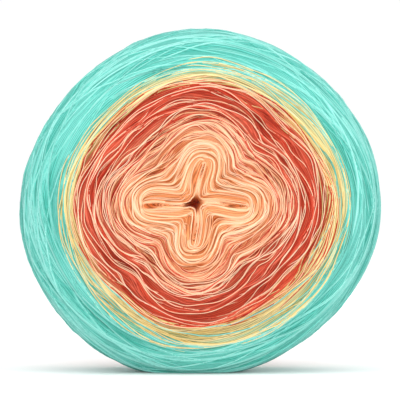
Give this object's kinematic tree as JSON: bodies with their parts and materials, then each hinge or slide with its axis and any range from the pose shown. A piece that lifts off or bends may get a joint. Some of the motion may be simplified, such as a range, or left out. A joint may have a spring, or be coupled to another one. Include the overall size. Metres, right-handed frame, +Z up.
{
  "type": "yarn cake",
  "caption": "Wide flat yarn cake in colour-change yarn, peach core through coral and straw to a mint rim, standing on its rim.",
  "frame": {"origin": "on the surface that the cake stands on, under the middle of its width and thickness", "axes": "+Z up, Y along the winding axis with the face that has the folded core towards -Y, X across the width"},
  "size_m": [0.1752, 0.0832, 0.1655],
  "materials": {
    "yarn": "matte unspun cotton-blend threads, mint at the rim, straw, coral and peach towards the core"
  },
  "bodies": {
    "root": {"yarn_cake": "yarn"}
  },
  "joints": []
}
